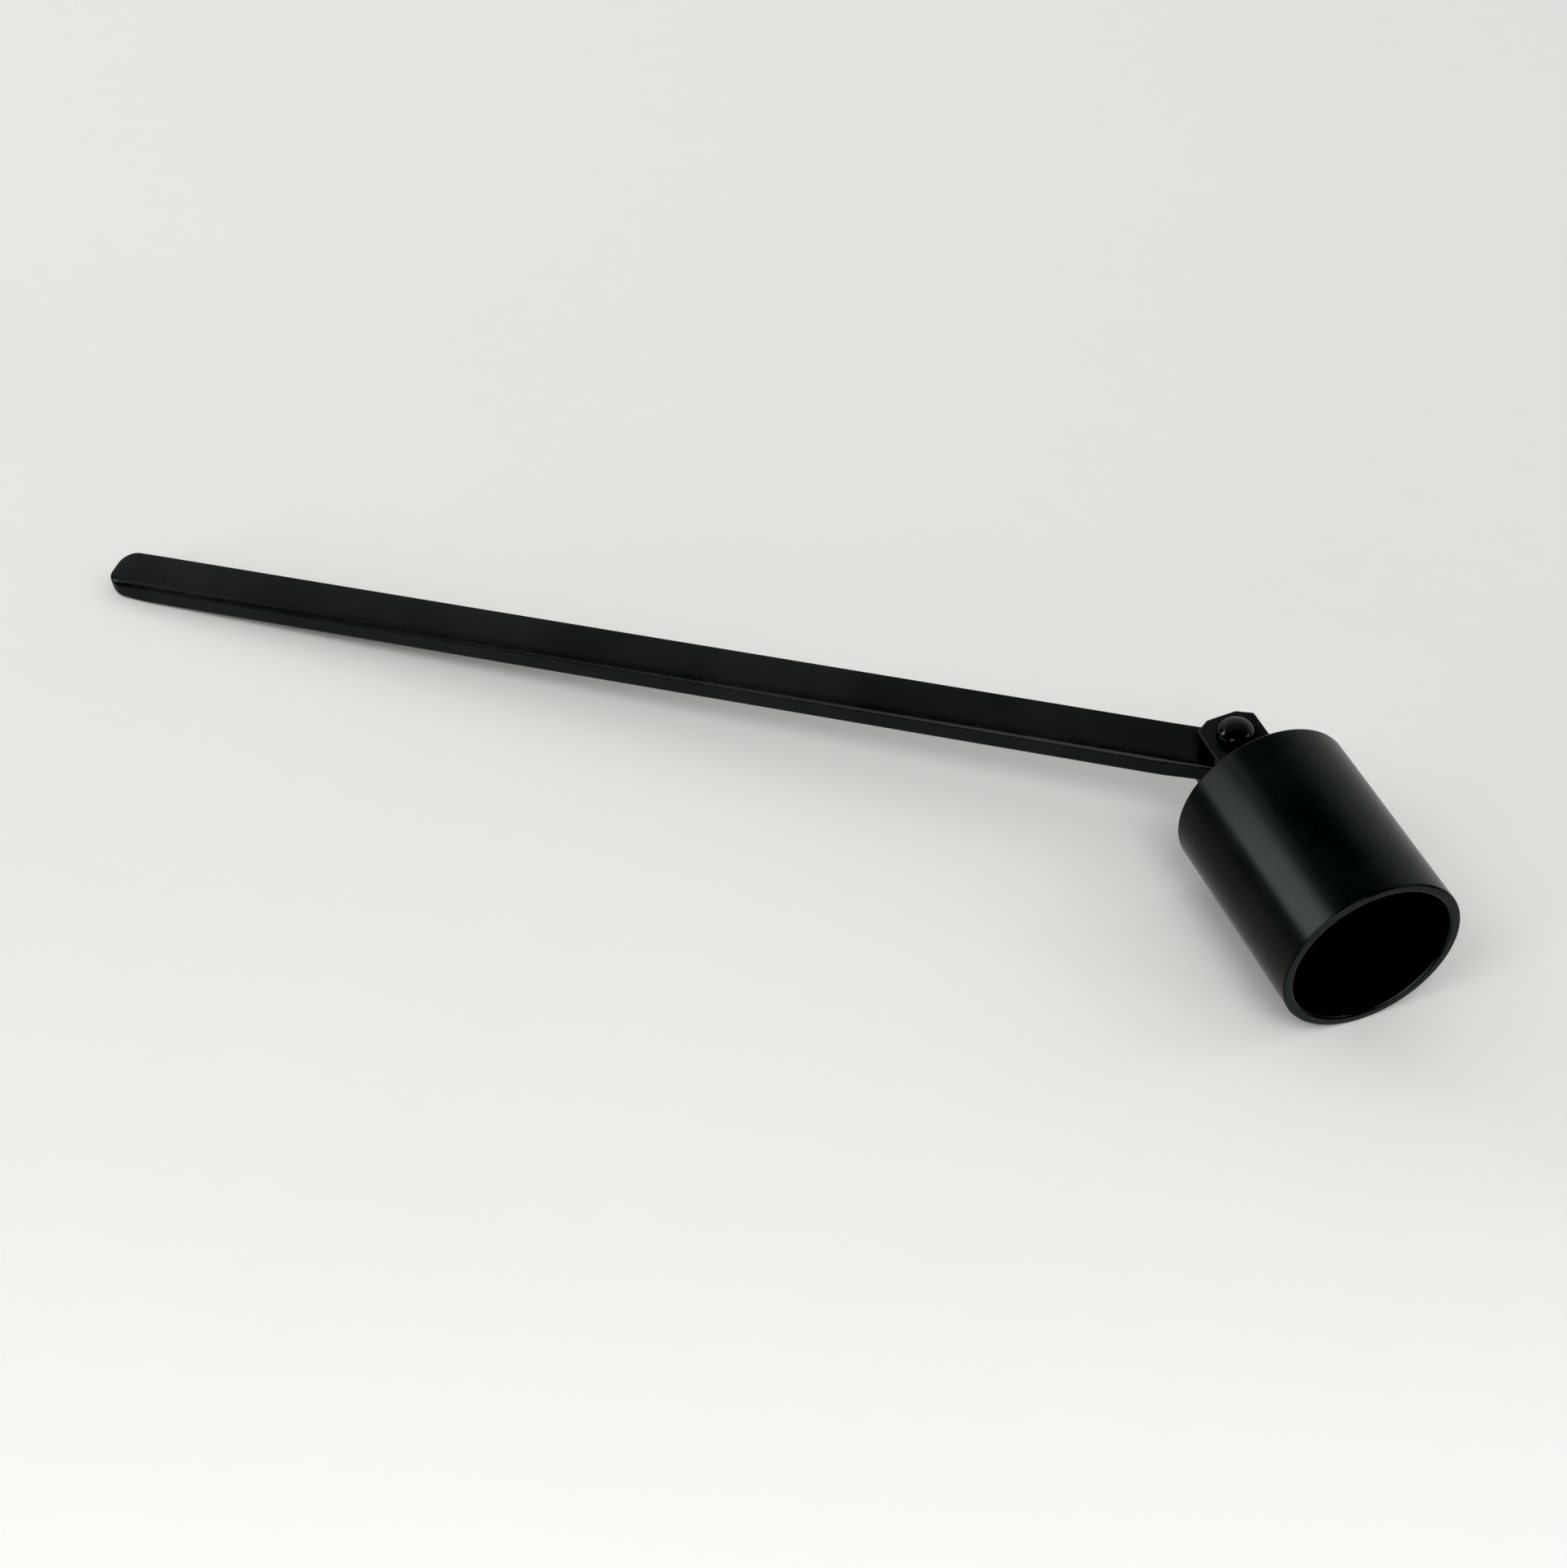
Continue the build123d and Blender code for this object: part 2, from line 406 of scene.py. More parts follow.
def handle_bar():
    """Flat bar with a full round end at the pivot and two rounded corners at the tail."""
    inset = HANDLE_EDGE + GUARD
    half = HANDLE_WIDTH / 2 - inset
    corner = TAIL_CORNER - inset
    plate = Plate()
    corner_x = TAIL_CORNER - PIVOT_TO_TAIL
    flat = HANDLE_WIDTH / 2 - TAIL_CORNER
    columns = []
    for i in range(TAIL_CORNER_STEPS + 1):
        angle = math.pi / 2 * i / TAIL_CORNER_STEPS
        c, s = math.cos(angle), math.sin(angle)
        if i == 0:
            columns.append(across(corner_x - corner, flat, lambda j: (-1, 0)))
            continue

        def rim(j, c=c, s=s):
            return {0: (-c, -s), ACROSS: (-c, s)}.get(j, (0, 0))

        columns.append(across(corner_x - corner * c, flat + corner * s, rim))
    joint = -HANDLE_WIDTH / 2
    columns += [across(x, half) for x in spaced(corner_x, joint, SPACING)[1:]]
    plate.strip(columns)
    end = [(x, y, nx, ny) for x, y, nx, ny, _ in arc_fine((0, 0), half, -90, 90)]
    sides = spaced(0, joint, half / ACROSS * 2)
    border = list(end)
    border += [(x, half, 0, 1) for x in sides[1:-1]]
    border += columns[-1][::-1]
    border += [(x, -half, 0, -1) for x in sides[::-1][1:-1]]
    plate.round_hole((0, 0), PIVOT_SHANK + HOLE_CLEARANCE, border)

    nose = TAIL_NOSE - PIVOT_TO_TAIL
    side = HANDLE_WIDTH / 2
    shoulder = side - SHOULDER_START

    def bend(u, v, w, normal=(0, 0, 1)):
        """The bar slightly crowned, softer along one edge, and thinner at the end of its tail.

        It stays flat round the pivot, where the washers lie on it.
        """
        t = min(max((nose - u) / TAIL_NOSE, 0.0), NOSE_DRAWN)
        fall = math.sqrt(1 - t * t)
        keep = 1 - TAIL_THINNING * (1 - fall)
        keep_slope = TAIL_THINNING * t / fall / TAIL_NOSE
        past = max(0.0, (-v - SHOULDER_START) / shoulder)
        crown = -HANDLE_CROWN * (v / side) ** 2 - SHOULDER * past**2
        crown_slope = 2 * SHOULDER * past / shoulder - 2 * HANDLE_CROWN * v / side**2
        r = min(max((-u - PIVOT_FLAT) / (PIVOT_FLAT_END - PIVOT_FLAT), 0.0), 1.0)
        share = r * r * (3 - 2 * r)
        share_slope = -6 * r * (1 - r) / (PIVOT_FLAT_END - PIVOT_FLAT)
        lifted = w + crown * share - TAIL_LIFT
        nu, nv, nw = normal
        nw /= keep
        nu -= (lifted * keep_slope + keep * crown * share_slope) * nw
        nv -= crown_slope * share * keep * nw
        return Vector((u, v, TAIL_LIFT + lifted * keep)), Vector((nu, nv, nw))

    return plate.solid(HANDLE_THICKNESS, HANDLE_EDGE, [(0, 0)], bend, HANDLE_FAR_EDGE)


def arc_fine(centre, radius, start, end):
    """Samples round a large arc in plan, angles in degrees."""
    steps = round(abs(end - start) / PLAN_ARC_STEP)
    samples = []
    for i in range(steps + 1):
        angle = math.radians(start + (end - start) * i / steps)
        nx, ny = math.cos(angle), math.sin(angle)
        samples.append((centre[0] + radius * nx, centre[1] + radius * ny, nx, ny, 1.0))
    return samples


def ear_border(column_u, hole_u, end_u, half):
    """Plan points round one ear, from its column across the strap to its clipped end."""
    inset = STRAP_EDGE + GUARD
    clip_in = STRAP_WIDTH / 2 - EAR_CLIP_ACROSS
    corners = [
        (end_u - EAR_CLIP_ALONG, -STRAP_WIDTH / 2, CLIP_EDGE),
        (end_u, -clip_in, CLIP_EDGE),
        (end_u, clip_in, CLIP_EDGE),
        (end_u - EAR_CLIP_ALONG, STRAP_WIDTH / 2, CLIP_EDGE),
        (column_u, STRAP_WIDTH / 2, CLIP_EDGE),
        (column_u, -STRAP_WIDTH / 2, CLIP_EDGE),
    ]
    outline = rounded(corners, SHORT_SPACING)
    border = []
    for x, y, nx, ny, _ in outline:
        beside_column = x < column_u + CLIP_EDGE + GUARD * 2
        if nx > -0.01 and not beside_column:
            border.append((x - nx * inset, y - ny * inset, nx, ny))
    top = [i for i, p in enumerate(border) if p[1] > 0]
    bottom = [i for i, p in enumerate(border) if p[1] <= 0]
    ordered = [border[i] for i in bottom + top]
    ordered.sort(key=lambda p: math.atan2(p[1], p[0] - hole_u))
    column = across(column_u, half)
    return ordered + column[::-1]


def clevis_bracket():
    """U-shaped strap: a base on the cup's closed end and two ears with clipped corners."""
    middle = BEND_INSIDE + STRAP_THICKNESS / 2
    outside = BEND_INSIDE + STRAP_THICKNESS
    bend_x = PIVOT_TO_CUP - outside
    bend_z = EAR_TOP - outside
    base_end = bend_z
    ear_start = base_end + middle * math.pi / 2
    hole_u = ear_start + bend_x
    end_u = hole_u + PIVOT_TO_EAR_END
    half = STRAP_WIDTH / 2 - STRAP_EDGE - GUARD
    column_u = hole_u - EAR_COLUMN

    def bend(u, v, w, normal=(0, 0, 1)):
        """A flat point and normal, laid along the U: u along the strap, w outwards."""
        side = 1 if u >= 0 else -1
        along = abs(u)
        if along <= base_end:
            angle, x, z = 0.0, bend_x + middle + w, along
        elif along < ear_start:
            angle = (along - base_end) / middle
            x = bend_x + (middle + w) * math.cos(angle)
            z = bend_z + (middle + w) * math.sin(angle)
        else:
            angle = math.pi / 2
            x, z = bend_x - (along - ear_start), bend_z + middle + w
        nu, nv, nw = normal
        nu *= side
        nx = nw * math.cos(angle) - nu * math.sin(angle)
        nz = nw * math.sin(angle) + nu * math.cos(angle)
        return Vector((x, v, z * side)), Vector((nx, nv, nz * side))

    plate = Plate()
    sides = spaced(-base_end, base_end, BASE_SPACING)
    border = [(x, -half, 0, -1) for x in sides[:-1]]
    border += across(base_end, half)[:-1]
    border += [(x, half, 0, 1) for x in sides[::-1][:-1]]
    border += across(-base_end, half)[::-1][:-1]
    plate.round_hole((0, 0), FIXING_SHANK + HOLE_CLEARANCE, border)
    for side in (1, -1):
        stations = spaced(base_end, ear_start, BEND_SPACING)
        stations += spaced(ear_start, column_u, EAR_SPACING)[1:]
        columns = [across(u, half) for u in stations]
        plate.strip([[(side * x, y, nx, ny) for x, y, nx, ny in c] for c in columns])
        ear = ear_border(column_u, hole_u, end_u, half)
        ear = [(side * x, y, side * nx, ny) for x, y, nx, ny in ear]
        centre = (side * hole_u, 0)
        plate.round_hole(centre, PIVOT_SHANK + HOLE_CLEARANCE, ear)
    holes = [(0, 0), (hole_u, 0), (-hole_u, 0)]
    return plate.solid(STRAP_THICKNESS, STRAP_EDGE, holes, bend)


def snuffer_cup():
    """Straight cup, closed towards the pivot, with a hole for the bracket's rivet."""
    back = PIVOT_TO_CUP
    floor = back + CUP_END_WALL
    mouth = back + CUP_LENGTH
    inner = CUP_RADIUS - CUP_WALL
    hole = FIXING_SHANK + HOLE_CLEARANCE
    corners = [
        (back, hole, TINY_EDGE),
        (floor, hole, TINY_EDGE),
        (floor, inner, CUP_FLOOR_FILLET),
        (mouth, inner, CUP_MOUTH_FILLET),
        (mouth, CUP_RADIUS, CUP_RIM_EDGE),
        (back, CUP_RADIUS, CUP_BACK_EDGE),
    ]
    return lathe(rounded(corners), (X, Y, Z), TURN_STEPS, closed=True)


def pivot_rivet():
    """Rivet along the hinge axis, head on the upper ear and formed tail under the lower one."""
    shell = rivet(PIVOT_SHANK, 2 * EAR_TOP, PIVOT_HEAD, PIVOT_TAIL, (Z, X, Y))
    return moved(shell, Z * -EAR_TOP)


def bracket_rivet():
    """Rivet along the cup's axis, head inside the cup and formed tail inside the bracket."""
    grip = STRAP_THICKNESS + CUP_END_WALL
    shell = rivet(FIXING_SHANK, grip, FIXING_HEAD, FIXING_TAIL, (X, Y, Z))
    return moved(shell, X * (PIVOT_TO_CUP - STRAP_THICKNESS))


def spacer_washer(side):
    """Washer between the handle and one ear; side is +1 above the handle and -1 below it."""
    inner = HANDLE_THICKNESS / 2 + FACE_CLEARANCE
    outer = EAR_TOP - STRAP_THICKNESS
    hole = PIVOT_SHANK + HOLE_CLEARANCE
    edge = WASHER_EDGE
    corners = [
        (inner, hole, TINY_EDGE),
        (outer, hole, TINY_EDGE),
        (outer, WASHER_RADIUS - edge, TINY_EDGE),
        (outer - edge, WASHER_RADIUS, TINY_EDGE),
        (inner + edge, WASHER_RADIUS, TINY_EDGE),
        (inner, WASHER_RADIUS - edge, TINY_EDGE),
    ]
    along = Z * side
    outline = rounded(corners, SHORT_SPACING)
    return lathe(outline, (along, X, Y), SMALL_TURN_STEPS, closed=True)


# ---------------------------------------------------------------- materials


# The coating's noises, in cells per metre
PATCH_CELLS = 70.0
RUB_CELLS = 420.0
PEEL_CELLS = 900.0
GRAIN_CELLS = 2600.0
DUST_CELLS = 260.0

# The coating's tones spread this much about its base, and its patches' roughness this much
TONE_SPREAD = 0.15
ROUGHNESS_SPREAD = 0.07
GRAIN_ROUGHNESS = 0.01

# Rubbed edges and dust: colour, share of it that shows, and the dust's dots in shares of a cell
RUBBED = (0.035, 0.037, 0.036, 1.0)
RUBBED_SHARE = 0.12
DUST = (0.28, 0.28, 0.27, 1.0)
DUST_SHARE = 0.6
DUST_ROUGHNESS = 0.3
DUST_DOT = (0.012, 0.03)

# Coatings: (base colour, roughness, depth of the orange peel in metres, share of dusty cells,
# specular level)
SATIN = ((0.0074, 0.0084, 0.0082), 0.22, 0.3e-6, 0.02, 0.25)
SATIN_STRIP = ((0.0109, 0.0119, 0.0116), 0.25, 0.35e-6, 0.02, 0.25)
GLOSS = ((0.0086, 0.0094, 0.0092), 0.07, 0.1e-6, 0.0, 0.4)

# Nylon: its two tones, mottle and moulded grain in cells per metre, grain depth in metres and
# range of roughness
NYLON_TONES = ((0.008, 0.008, 0.0085, 1.0), (0.012, 0.012, 0.0125, 1.0))
NYLON_MOTTLE_CELLS = 500.0
NYLON_GRAIN_CELLS = 6000.0
NYLON_GRAIN = 4e-6
NYLON_ROUGHNESS = (0.5, 0.62)
NYLON_LEVEL = 0.25

COATING_IOR = 1.5
NYLON_IOR = 1.53


class Nodes:
    """Short calls for building a node tree."""

    def __init__(self, tree):
        self.tree = tree
        tree.nodes.clear()

    def node(self, kind, settings=None, **inputs):
        made = self.tree.nodes.new(kind)
        for name, value in (settings or {}).items():
            setattr(made, name, value)
        for name, value in inputs.items():
            self.feed(made, name.replace("_", " "), value)
        return made

    def feed(self, node, name, value):
        """Set an input, or link it where the value is another node's output."""
        socket = node.inputs[int(name)] if name.isdigit() else node.inputs[name]
        if isinstance(value, bpy.types.NodeSocket):
            self.tree.links.new(value, socket)
        else:
            socket.default_value = value

    def math(self, operation, a, b=0.0, clamp=False):
        made = self.tree.nodes.new("ShaderNodeMath")
        made.operation = operation
        made.use_clamp = clamp
        self.feed(made, "0", a)
        self.feed(made, "1", b)
        return made.outputs[0]

    def remap(self, value, low, high, to_low, to_high):
        made = self.node("ShaderNodeMapRange", Value=value)
        for name, number in zip(
            ("From Min", "From Max", "To Min", "To Max"), (low, high, to_low, to_high)
        ):
            made.inputs[name].default_value = number
        return made.outputs["Result"]

    def step(self, value, outside, inside):
        """A smooth step from 0 at the outside to 1 at the inside, either way round."""
        low, high = sorted((outside, inside))
        made = self.node("ShaderNodeMapRange", {"interpolation_type": "SMOOTHSTEP"}, Value=value)
        ends = (0.0, 1.0) if outside < inside else (1.0, 0.0)
        for name, number in zip(("From Min", "From Max", "To Min", "To Max"), (low, high, *ends)):
            made.inputs[name].default_value = number
        return made.outputs["Result"]

    def dot(self, vector, other):
        made = self.node("ShaderNodeVectorMath", {"operation": "DOT_PRODUCT"})
        self.feed(made, "0", vector)
        made.inputs[1].default_value = other
        return made.outputs["Value"]

    def mix(self, factor, a, b):
        made = self.node("ShaderNodeMix", {"data_type": "RGBA"})
        self.feed(made, "0", factor)
        self.feed(made, "6", a)
        self.feed(made, "7", b)
        return made.outputs[2]

    def noise(self, coordinates, scale, detail=2.0, roughness=0.5):
        made = self.node("ShaderNodeTexNoise", Vector=coordinates, Scale=scale)
        made.inputs["Detail"].default_value = detail
        made.inputs["Roughness"].default_value = roughness
        return made.outputs["Fac"]

    def output(self, shader):
        made = self.tree.nodes.new("ShaderNodeOutputMaterial")
        self.tree.links.new(shader, made.inputs["Surface"])


def new_material(name):
    material = bpy.data.materials.new(name)
    material.use_nodes = True
    return material, Nodes(material.node_tree)


def coated_black(name, base, roughness, peel, dust, level):
    """Black coating: two close tones, fine orange peel, thinner on the edges, specks of dust."""
    material, n = new_material(name)
    where = n.node("ShaderNodeTexCoord").outputs["Object"]
    wear = n.node("ShaderNodeAttribute", {"attribute_name": "wear"}).outputs["Fac"]
    patches = n.remap(n.noise(where, PATCH_CELLS, 3.0), 0.35, 0.65, 0.0, 1.0)
    grain = n.noise(where, GRAIN_CELLS, 2.0)
    deeper = tuple(c * (1 - TONE_SPREAD) for c in base) + (1.0,)
    lighter = tuple(c * (1 + TONE_SPREAD) for c in base) + (1.0,)
    colour = n.mix(patches, deeper, lighter)
    rubbed = n.remap(n.noise(where, RUB_CELLS, 4.0, 0.65), 0.5, 0.75, 0.0, 1.0)
    rubbed = n.math("MULTIPLY", rubbed, wear, clamp=True)
    colour = n.mix(n.math("MULTIPLY", rubbed, RUBBED_SHARE), colour, RUBBED)
    cells = n.node("ShaderNodeTexVoronoi", Vector=where, Scale=DUST_CELLS)
    picked = n.math("GREATER_THAN", n.math("FRACT", cells.outputs["Color"]), 1.0 - dust)
    close = n.remap(cells.outputs["Distance"], *DUST_DOT, 1.0, 0.0)
    speck = n.math("MULTIPLY", close, picked, clamp=True)
    colour = n.mix(n.math("MULTIPLY", speck, DUST_SHARE), colour, DUST)
    least, most = (roughness * (1 + sign * ROUGHNESS_SPREAD) for sign in (-1, 1))
    rough = n.remap(patches, 0.0, 1.0, least, most)
    rough = n.math("ADD", rough, n.remap(grain, 0.3, 0.7, -GRAIN_ROUGHNESS, GRAIN_ROUGHNESS))
    rough = n.math("ADD", rough, n.math("MULTIPLY", speck, DUST_ROUGHNESS), clamp=True)
    height = n.math("MULTIPLY", n.noise(where, PEEL_CELLS, 2.0), 2.0)
    height = n.math("ADD", height, grain)
    bump = n.node("ShaderNodeBump", Height=height, Strength=1.0, Distance=peel)
    shader = n.node("ShaderNodeBsdfPrincipled", IOR=COATING_IOR, Base_Color=colour)
    shader.inputs["Specular IOR Level"].default_value = level
    n.feed(shader, "Roughness", rough)
    n.feed(shader, "Normal", bump.outputs["Normal"])
    n.output(shader.outputs["BSDF"])
    return material


def black_nylon():
    """Washer plastic: matt, slightly mottled, with a fine moulded grain."""
    material, n = new_material("black_nylon")
    where = n.node("ShaderNodeTexCoord").outputs["Object"]
    mottle = n.remap(n.noise(where, NYLON_MOTTLE_CELLS, 3.0), 0.3, 0.7, 0.0, 1.0)
    colour = n.mix(mottle, *NYLON_TONES)
    grain = n.noise(where, NYLON_GRAIN_CELLS, 2.0)
    bump = n.node("ShaderNodeBump", Height=grain, Strength=1.0, Distance=NYLON_GRAIN)
    shader = n.node("ShaderNodeBsdfPrincipled", IOR=NYLON_IOR, Base_Color=colour)
    shader.inputs["Specular IOR Level"].default_value = NYLON_LEVEL
    n.feed(shader, "Roughness", n.remap(grain, 0.3, 0.7, *NYLON_ROUGHNESS))
    n.feed(shader, "Normal", bump.outputs["Normal"])
    n.output(shader.outputs["BSDF"])
    return material


# ---------------------------------------------------------------- pieces


def piece_frames():
    """The cup's and the handle's local frames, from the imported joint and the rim's mount."""
    joint = frame["joints"][0]
    pivot = Vector(joint["pos_m"])
    hinge = Vector(joint["axis"]).normalized()
    rim = frame["record"]["mounts"][0]
    along = Vector(rim["axis"])
    along = (along - hinge * along.dot(hinge)).normalized()
    side = hinge.cross(along)
    turn = Matrix((along, side, hinge)).transposed().to_4x4()
    cup = Matrix.Translation(pivot) @ turn
    return cup, cup @ Matrix.Rotation(SWING, 4, "Z")


def make_piece(name, shell, place, body, slot, material):
    """A finished object from a shell, in place of the CAD node that it is named after."""
    mesh = bpy.data.meshes.new(name + "_skin")
    points = [place @ (p * MM) for p in shell.points]
    mesh.from_pydata([tuple(p) for p in points], [], shell.faces)
    wear = mesh.attributes.new("wear", "FLOAT", "POINT")
    wear.data.foreach_set("value", shell.wear)
    mesh.polygons.foreach_set("use_smooth", [True] * len(shell.faces))
    turn = place.to_3x3()
    mesh.normals_split_custom_set([tuple(turn @ v) for v in shell.normals])
    mesh.materials.append(material)
    mesh.update()
    piece = bpy.data.objects.new(name + "_skin", mesh)
    bpy.context.scene.collection.objects.link(piece)
    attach(piece, body)
    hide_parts(name)
    return piece


def make_pieces():
    cup, handle = piece_frames()
    satin = coated_black("black_satin", *SATIN)
    strip = coated_black("black_satin_strip", *SATIN_STRIP)
    gloss = coated_black("black_gloss", *GLOSS)
    nylon = black_nylon()
    rows = (
        ("handle_bar", handle_bar(), handle, "handle", "black_satin", strip),
        ("snuffer_cup", snuffer_cup(), cup, "cup", "black_satin", satin),
        ("clevis_bracket", clevis_bracket(), cup, "cup", "black_satin", strip),
        ("pivot_rivet", pivot_rivet(), cup, "cup", "black_gloss", gloss),
        ("bracket_rivet", bracket_rivet(), cup, "cup", "black_gloss", gloss),
        ("upper_spacer_washer", spacer_washer(1), cup, "cup", "black_nylon", nylon),
        ("lower_spacer_washer", spacer_washer(-1), cup, "cup", "black_nylon", nylon),
    )
    for row in rows:
        make_piece(*row)


make_pieces()


# ---------------------------------------------------------------- camera

# Where the camera stands, in millimetres and degrees about its target
CAMERA_AZIMUTH = 19.0177
CAMERA_ELEVATION = 45.0063
CAMERA_ROLL = -1.0284
CAMERA_DISTANCE = 403.3665
CAMERA_TARGET = (12.08792, -1.86775, 8.0)
CAMERA_LENS = 59.8287
SENSOR_WIDTH = 36.0
CAMERA_CLIP = (0.01, 20.0)


def direction(azimuth, elevation):
    """The unit vector from the object towards an azimuth and elevation in degrees.

    Azimuth 0 is the side of -Y and 90 is the side of +X.
    """
    a, e = math.radians(azimuth), math.radians(elevation)
    return Vector((math.sin(a) * math.cos(e), -math.cos(a) * math.cos(e), math.sin(e)))


def make_camera():
    data = bpy.data.cameras.new("camera")
    data.sensor_width = SENSOR_WIDTH
    data.lens = CAMERA_LENS
    data.clip_start, data.clip_end = CAMERA_CLIP
    camera = bpy.data.objects.new("camera", data)
    bpy.context.scene.collection.objects.link(camera)
    right = direction(CAMERA_AZIMUTH + 90, 0)
    back = direction(CAMERA_AZIMUTH, CAMERA_ELEVATION)
    up = back.cross(right)
    roll = math.radians(CAMERA_ROLL)
    c, s = math.cos(roll), math.sin(roll)
    rolled_right = right * c + up * s
    rolled_up = up * c - right * s
    turn = Matrix((rolled_right, rolled_up, back)).transposed().to_4x4()
    place = (Vector(CAMERA_TARGET) + back * CAMERA_DISTANCE) * MM
    camera.matrix_world = Matrix.Translation(place) @ turn
    bpy.context.scene.camera = camera


make_camera()


# ---------------------------------------------------------------- floor

# The board is painted lighter towards the front and towards the left, a painted pool of light in
# place of the lamps' falloff. Distances are along the camera's bearing, in metres
FLOOR_ALBEDO = 0.725
FLOOR_TINT = (1.004, 1.0, 0.971)
FLOOR_HALF = 3.0
PAINTED_LIGHT_START = -0.12
PAINTED_LIGHT_LENGTH = 0.31
PAINTED_LIGHT_END = 0.86
PAINTED_LIGHT_GAIN = (0.965, 0.447)
PAINTED_LIGHT_POWER = 3.0
PAINTED_LIGHT_ACROSS = -0.21
PAINTED_LIGHT_ACROSS_REACH = 0.25

# Its mottling: (cells per metre, detail, roughness of the noise, strength)
MOTTLES = ((14.0, 3.0, 0.55, 0.006), (160.0, 4.0, 0.6, 0.004))
BOARD_ROUGHNESS = 0.9


def make_floor():
    """Pale matt board, far larger than the view, faintly mottled, with painted light that makes it
    lighter to the front and the left.
    """
    half = FLOOR_HALF
    mesh = bpy.data.meshes.new("floor")
    corners = [(-half, -half, 0), (half, -half, 0), (half, half, 0), (-half, half, 0)]
    mesh.from_pydata(corners, [], [(0, 1, 2, 3)])
    material, n = new_material("pale_board")
    where = n.node("ShaderNodeTexCoord").outputs["Object"]
    forward = n.dot(where, direction(CAMERA_AZIMUTH, 0))
    sideways = n.dot(where, direction(CAMERA_AZIMUTH + 90, 0))
    # Painted light: the board's tone rises towards the front and the left, in place of the lamps'
    # falloff
    end = PAINTED_LIGHT_START + PAINTED_LIGHT_LENGTH * PAINTED_LIGHT_END
    painted_light = n.remap(forward, PAINTED_LIGHT_START, end, 0.0, PAINTED_LIGHT_END)
    painted_light = n.math("MULTIPLY", n.math("POWER", painted_light, PAINTED_LIGHT_POWER), PAINTED_LIGHT_GAIN[1])
    tone = n.math("ADD", painted_light, PAINTED_LIGHT_GAIN[0])
    reach, change = PAINTED_LIGHT_ACROSS_REACH, PAINTED_LIGHT_ACROSS_REACH * PAINTED_LIGHT_ACROSS
    tone = n.math("ADD", tone, n.remap(sideways, -reach, reach, -change, change))
    for cells, detail, rough, strength in MOTTLES:
        mottle = n.remap(n.noise(where, cells, detail, rough), 0.3, 0.7, -strength, strength)
        tone = n.math("ADD", tone, mottle)
    colour = n.node("ShaderNodeVectorMath", {"operation": "SCALE"}, Scale=tone)
    colour.inputs[0].default_value = tuple(FLOOR_ALBEDO * t for t in FLOOR_TINT)
    shader = n.node("ShaderNodeBsdfPrincipled", Base_Color=colour.outputs[0])
    shader.inputs["Roughness"].default_value = BOARD_ROUGHNESS
    shader.inputs["Specular IOR Level"].default_value = 0.0
    n.output(shader.outputs["BSDF"])
    mesh.materials.append(material)
    floor = bpy.data.objects.new("floor", mesh)
    bpy.context.scene.collection.objects.link(floor)
    floor.visible_glossy = False


make_floor()


# ---------------------------------------------------------------- light

# Soft light on the floor: (azimuth, elevation, radius of the disc in degrees, share of the
# floor's brightness)
AMBIENT_SHARE = 0.457
SOFT_LIGHTS = (
    (320.0, 54.0, 12.0, 0.066),
    (34.3, 46.0, 12.0, 0.054),
    (25.7, 62.0, 12.0, 0.116),
    (120.0, 38.0, 12.0, 0.029),
    (252.0, 8.0, 5.0, 0.013),
    (252.0, 8.0, 22.0, 0.017),
    (324.0, 8.0, 5.0, 0.017),
    (315.0, 38.0, 5.0, 0.018),
    (84.0, 8.0, 5.0, 0.010),
)

# What the coating mirrors: (tint, azimuth, half width, its soft edge, bottom, its soft edge,
# top, its soft edge, brightness), all angles in degrees
COOL = (0.93, 1.02, 1.0)
WARM = (1.01, 1.02, 0.95)
ROOM_TONE = 0.03
PANELS = (
    (WARM, 160.0, 45.0, 40.0, -95.0, 1.0, 8.0, 16.0, 0.50),
    (COOL, 178.0, 62.0, 24.0, 8.0, 16.0, 39.0, 38.0, 0.36),
    (COOL, 185.0, 85.0, 30.0, 8.0, 16.0, 72.0, 24.0, 0.15),
    (WARM, 270.0, 60.0, 20.0, -95.0, 1.0, -14.0, 8.0, 0.30),
    (COOL, 270.0, 60.0, 20.0, -14.0, 8.0, 4.0, 3.0, 0.18),
    (COOL, 44.0, 76.0, 30.0, -95.0, 1.0, -28.0, 20.0, 0.36),
    (COOL, 80.0, 30.0, 30.0, -95.0, 1.0, -28.0, 20.0, 0.10),
    (COOL, 15.0, 33.0, 12.0, -6.0, 8.0, 35.0, 4.0, 2.4),
    (COOL, 90.0, 13.0, 8.0, 14.0, 6.0, 38.0, 6.0, 1.4),
)

# The windows that the coating mirrors, on the handle's side: (azimuth and distance of its foot from
# the cup, half width, its soft edge, bottom, dark top, height where it is at its full brightness,
# brightness, curtain), in degrees and metres. A curtain covers the side away from the cup's mouth:
# (how far its edge bows out with the square of the height, where it is closed, where it is open).
WINDOWS = (
    (268.0, 0.585, 0.17, 0.05, 0.10, 0.60, 0.36, 3.35, (0.52, -0.004, 0.036)),
    (251.0, 0.600, 0.09, 0.05, 0.40, 0.66, 0.56, 1.10, None),
)


def soft_light(azimuth, elevation, radius, share):
    """A distant disc of light, which the glossy coating doesn't mirror."""
    data = bpy.data.lights.new(f"soft_{azimuth:.0f}_{elevation:.0f}_{radius:.0f}", "SUN")
    data.energy = share * math.pi / (FLOOR_ALBEDO * math.sin(math.radians(elevation)))
    data.angle = 2 * math.radians(radius)
    lamp = bpy.data.objects.new(data.name, data)
    lamp.rotation_mode = "QUATERNION"
    lamp.rotation_quaternion = direction(azimuth, elevation).to_track_quat("Z", "Y")
    lamp.visible_glossy = False
    bpy.context.scene.collection.objects.link(lamp)


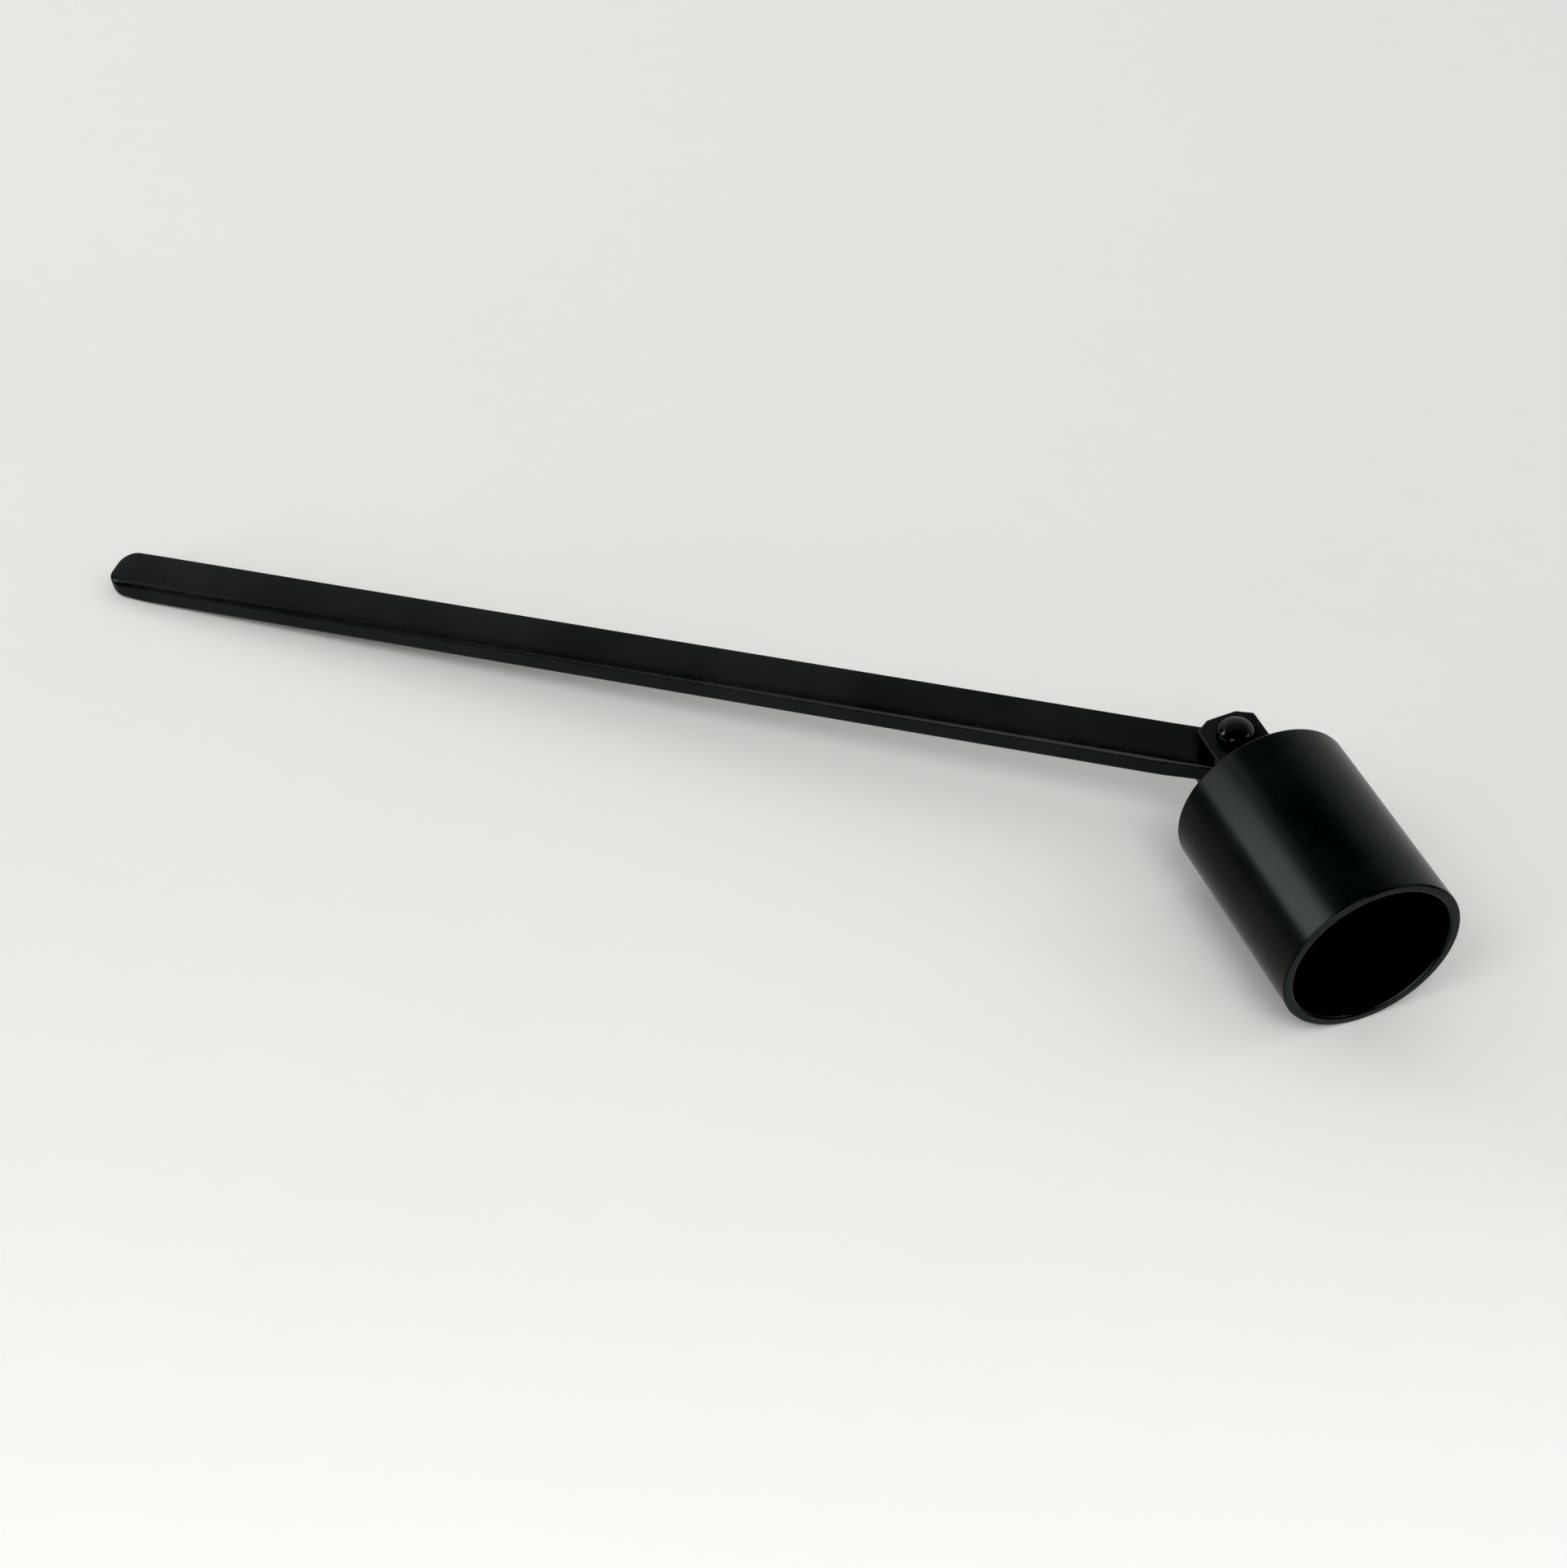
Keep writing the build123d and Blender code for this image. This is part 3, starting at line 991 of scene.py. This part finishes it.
def make_window(azimuth, distance, half, soft, bottom, top, full, strength, curtain):
    """A glowing upright panel that only the glossy coating sees, dimmer towards its top."""
    rim = Vector(frame["record"]["mounts"][0]["pos_m"])
    aside = direction(azimuth + 90, 0)
    foot = Vector((rim.x, rim.y, 0)) + direction(azimuth, 0) * distance
    name = f"window_{azimuth:.0f}"
    mesh = bpy.data.meshes.new(name)
    corners = [(-half, bottom), (half, bottom), (half, top), (-half, top)]
    mesh.from_pydata([tuple(foot + aside * x + Z * z) for x, z in corners], [], [(0, 1, 2, 3)])
    material, n = new_material(name)
    where = n.node("ShaderNodeTexCoord").outputs["Object"]
    glow = n.step(n.dot(where, (0, 0, 1)), top, full)
    beside = n.math("SUBTRACT", n.dot(where, aside), foot.dot(aside))
    edge = n.step(n.math("ABSOLUTE", beside), half, half - soft)
    glow = n.math("MULTIPLY", edge, glow)
    if curtain:
        bow, closed, opened = curtain
        height = n.dot(where, (0, 0, 1))
        bowed = n.math("MULTIPLY", n.math("MULTIPLY", height, height), bow)
        edge = n.step(n.math("ADD", beside, bowed), closed, opened)
        glow = n.math("MULTIPLY", edge, glow)
    glow = n.math("MULTIPLY", glow, strength)
    shader = n.node("ShaderNodeEmission", Strength=glow)
    shader.inputs["Color"].default_value = COOL + (1.0,)
    n.output(shader.outputs[0])
    mesh.materials.append(material)
    window = bpy.data.objects.new(name, mesh)
    for unseen in ("camera", "diffuse", "shadow", "transmission", "volume_scatter"):
        setattr(window, "visible_" + unseen, False)
    bpy.context.scene.collection.objects.link(window)


def panel_light(n, facing, azimuth, half, soft, low, low_soft, high, high_soft, strength):
    """Brightness of one panel with soft edges, as seen in each direction."""
    ahead = n.dot(facing, direction(azimuth, 0))
    beside = n.dot(facing, direction(azimuth + 90, 0))
    turn = n.math("ABSOLUTE", n.math("ARCTAN2", beside, ahead))
    up = n.math("ARCSINE", n.dot(facing, (0, 0, 1)))
    edges = (
        (turn, half + soft / 2, half - soft / 2),
        (up, low - low_soft / 2, low + low_soft / 2),
        (up, high + high_soft / 2, high - high_soft / 2),
    )
    bright = strength
    for angle, outside, inside in edges:
        bright = n.math("MULTIPLY", n.step(angle, *map(math.radians, (outside, inside))), bright)
    return bright


def make_lights():
    """An even soft light for everything matt, and a room with panels for the gloss to mirror."""
    world = bpy.data.worlds.new("studio")
    bpy.context.scene.world = world
    world.use_nodes = True
    world.cycles.sampling_method = "NONE"
    n = Nodes(world.node_tree)
    facing = n.node("ShaderNodeTexCoord").outputs["Generated"]
    seen = (ROOM_TONE, ROOM_TONE, ROOM_TONE)
    for tint, *panel in PANELS:
        lit = n.node("ShaderNodeVectorMath", {"operation": "SCALE"})
        lit.inputs[0].default_value = tint
        n.feed(lit, "Scale", panel_light(n, facing, *panel))
        added = n.node("ShaderNodeVectorMath", {"operation": "ADD"})
        n.feed(added, "0", seen)
        n.feed(added, "1", lit.outputs[0])
        seen = added.outputs[0]
    ambient = (AMBIENT_SHARE / FLOOR_ALBEDO,) * 3 + (1.0,)
    glossy = n.node("ShaderNodeLightPath").outputs["Is Glossy Ray"]
    back = n.node("ShaderNodeBackground", Color=n.mix(glossy, ambient, seen))
    out = n.node("ShaderNodeOutputWorld")
    world.node_tree.links.new(back.outputs[0], out.inputs[0])
    for row in SOFT_LIGHTS:
        soft_light(*row)
    for row in WINDOWS:
        make_window(*row)


make_lights()


# ---------------------------------------------------------------- picture

BLACK_LEVEL = 0.012


def set_picture():
    """Plain tones, with black set at the coating's own darkest tone."""
    view = bpy.context.scene.view_settings
    view.view_transform = "Standard"
    view.use_curve_mapping = True
    view.curve_mapping.black_level = (BLACK_LEVEL,) * 3
    view.curve_mapping.update()


set_picture()
